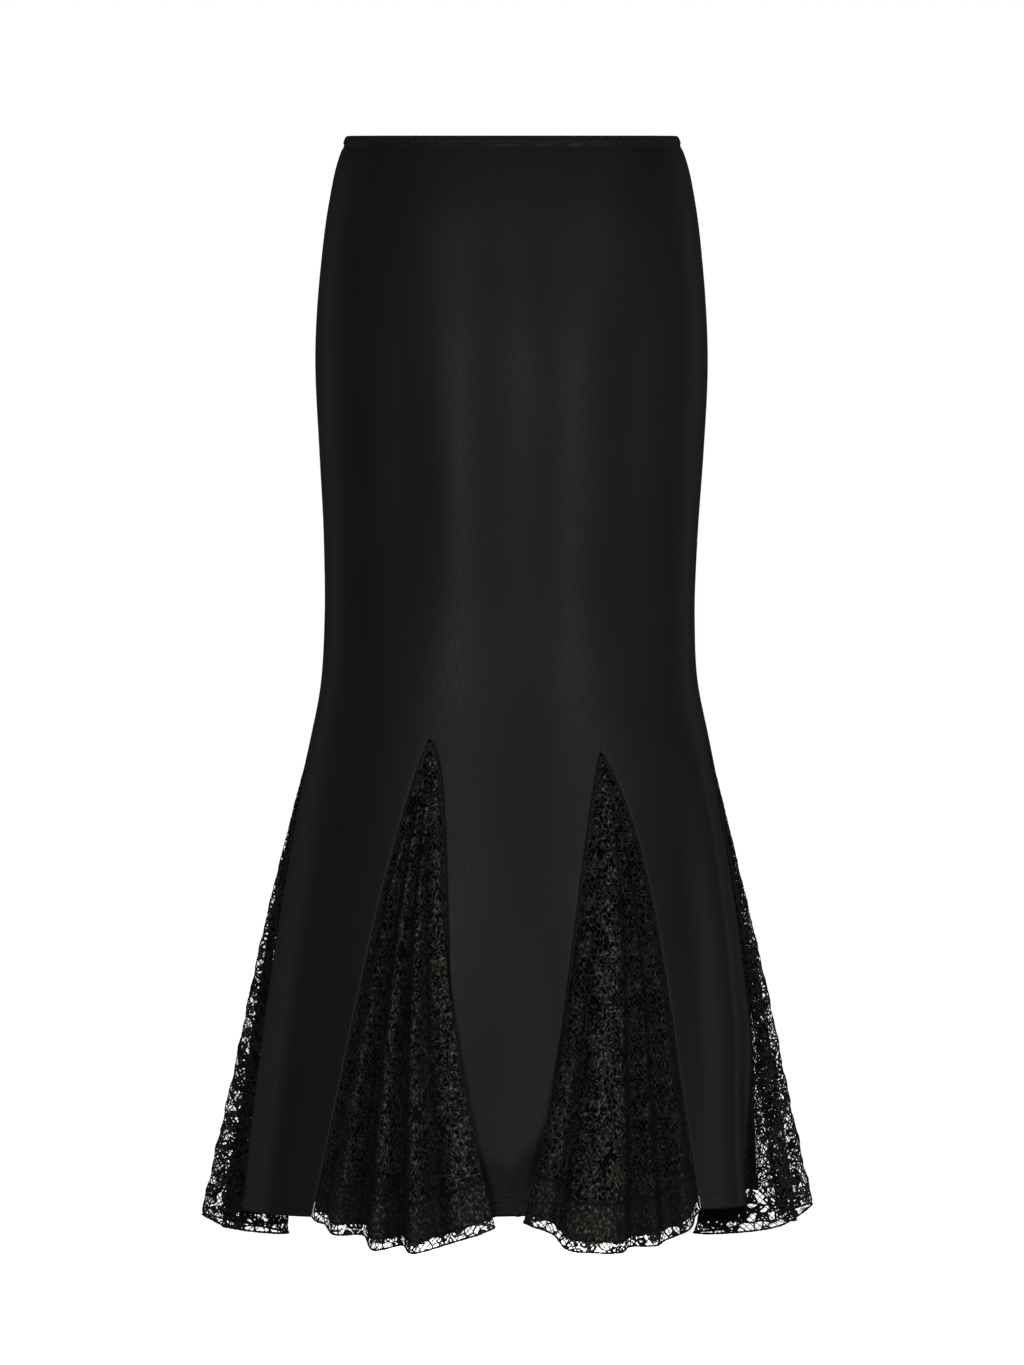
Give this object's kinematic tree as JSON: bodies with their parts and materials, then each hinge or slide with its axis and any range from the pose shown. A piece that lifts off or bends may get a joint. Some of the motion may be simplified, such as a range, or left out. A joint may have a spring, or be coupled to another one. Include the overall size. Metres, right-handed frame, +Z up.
{
  "type": "mermaid skirt",
  "caption": "Worn-shape maxi skirt of black satin, close to the knee and flared below it by lace godets set into slashes, with a narrow elastic waist edge",
  "frame": {"origin": "middle of the waist opening, level with its edge at the back, where the wearer's waist holds the skirt", "axes": "+Z up along the skirt, -Y to the wearer's front, +X to the right of someone who faces the front"},
  "size_m": [0.5448, 0.4178, 0.9823],
  "materials": {
    "satin": "black satin weave, soft low sheen",
    "casing": "black satin turned over a narrow elastic",
    "lace": "black floral lace with corded outlines on a fine net"
  },
  "bodies": {
    "root": {"waistband": "casing", "front": "satin", "back": "satin", "godet_front_left": "lace", "godet_front_right": "lace", "godet_side_left": "lace", "godet_side_right": "lace", "godet_back": "lace"}
  },
  "joints": []
}
